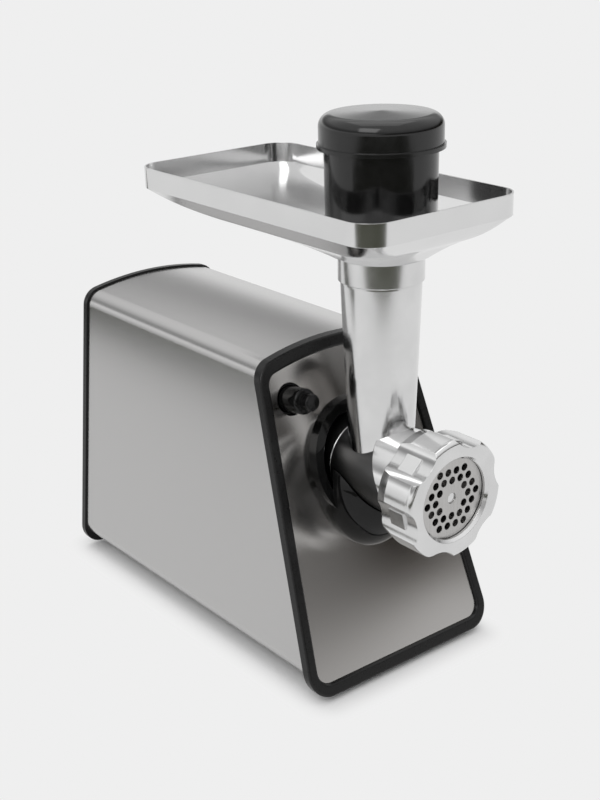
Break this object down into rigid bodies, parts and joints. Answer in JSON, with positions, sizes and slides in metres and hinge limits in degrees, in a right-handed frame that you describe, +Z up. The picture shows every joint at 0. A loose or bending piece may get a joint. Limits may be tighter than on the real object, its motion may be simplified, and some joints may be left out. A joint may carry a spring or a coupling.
{
  "type": "electric meat grinder",
  "caption": "Countertop electric meat grinder with a brushed steel housing, leaning front panel, screw-fed grinding head, hopper tray and pusher.",
  "frame": {"origin": "centre of the bounding box, on the plane the feet stand on", "axes": "+X to the right seen from the front, +Y towards the rear, +Z up; the ring nut faces -Y"},
  "size_m": [0.1374, 0.3, 0.3196],
  "materials": {
    "brushed_steel": "brushed satin sheet",
    "brushed_steel_dark": "brushed satin sheet",
    "satin_black": "satin moulded",
    "rubber_black": "matt",
    "plated_steel": "zinc plated",
    "gloss_black": "polished moulded",
    "cast_aluminium": "polished casting",
    "white_plastic": "moulded",
    "tool_steel": "ground",
    "polished_steel": "mirror polished sheet",
    "grey_plastic": "moulded",
    "board_green": "laminate"
  },
  "bodies": {
    "base": {"housing_sleeve": "brushed_steel", "front_bezel": "satin_black", "front_panel": "brushed_steel_dark", "rear_cover": "satin_black", "cord_gland": "rubber_black", "base_plate": "satin_black", "rubber_feet": "rubber_black", "base_screws": "plated_steel", "rear_screws": "plated_steel", "socket_collar": "gloss_black", "button_guide": "satin_black", "gearbox_case": "grey_plastic", "gearbox_lid": "grey_plastic", "gear_axle": "tool_steel", "motor_can": "plated_steel", "control_board": "board_green", "motor_cradle": "grey_plastic", "switch_frame": "satin_black"},
    "rotor": {"motor_rotor": "plated_steel", "motor_pinion": "tool_steel"},
    "mid": {"middle_gear": "white_plastic", "middle_pinion": "tool_steel"},
    "drive": {"output_shaft": "plated_steel", "output_gear": "white_plastic"},
    "head": {"grinder_head": "cast_aluminium", "cutting_plate": "tool_steel", "auger_bush": "white_plastic"},
    "screw": {"auger": "cast_aluminium", "knife": "tool_steel"},
    "nut": {"ring_nut": "cast_aluminium"},
    "tray": {"hopper_tray": "polished_steel"},
    "pusher": {"pusher_cup": "gloss_black"},
    "cap": {"pusher_cap": "gloss_black"},
    "button": {"lock_button": "gloss_black"},
    "rocker": {"switch_rocker": "satin_black"}
  },
  "joints": [
    {"name": "drive_turn", "type": "hinge", "parent": "base", "child": "drive", "pos_m": [0, 0, 0.1207], "axis": [0, -1, 0], "continuous": true},
    {"name": "rotor_turn", "type": "hinge", "parent": "base", "child": "rotor", "pos_m": [0, 0, 0.05045], "axis": [0, -1, 0], "continuous": true},
    {"name": "mid_turn", "type": "hinge", "parent": "base", "child": "mid", "pos_m": [0.02, 0, 0.08039], "axis": [0, -1, 0], "continuous": true},
    {"name": "head_pull", "type": "slide", "parent": "base", "child": "head", "axis": [0, -1, 0], "range_m": [0, 0.05]},
    {"name": "auger_turn", "type": "hinge", "parent": "head", "child": "screw", "pos_m": [0, 0, 0.1207], "axis": [0, -1, 0], "continuous": true},
    {"name": "ring_nut_turn", "type": "hinge", "parent": "head", "child": "nut", "pos_m": [0, 0, 0.1207], "axis": [0, -1, 0], "range_deg": [0, 720]},
    {"name": "tray_lift", "type": "slide", "parent": "head", "child": "tray", "axis": [0, 0, 1], "range_m": [0, 0.06]},
    {"name": "pusher_lift", "type": "slide", "parent": "tray", "child": "pusher", "axis": [0, 0, 1], "range_m": [0, 0.11]},
    {"name": "cap_lift", "type": "slide", "parent": "pusher", "child": "cap", "axis": [0, 0, 1], "range_m": [0, 0.03]},
    {"name": "lock_button_press", "type": "slide", "parent": "base", "child": "button", "axis": [0, 0.9848, -0.1736], "range_m": [0, 0.004], "stiffness_N_per_m": 800},
    {"name": "switch_rock", "type": "hinge", "parent": "base", "child": "rocker", "pos_m": [0.05425, 0.062, 0.0957], "axis": [0, 1, 0], "range_deg": [-10, 10]}
  ],
  "couplings": [
    {"joint": "auger_turn", "follows": "drive_turn", "ratio": 1},
    {"joint": "mid_turn", "follows": "drive_turn", "ratio": -3.2857},
    {"joint": "rotor_turn", "follows": "drive_turn", "ratio": 13.612}
  ]
}
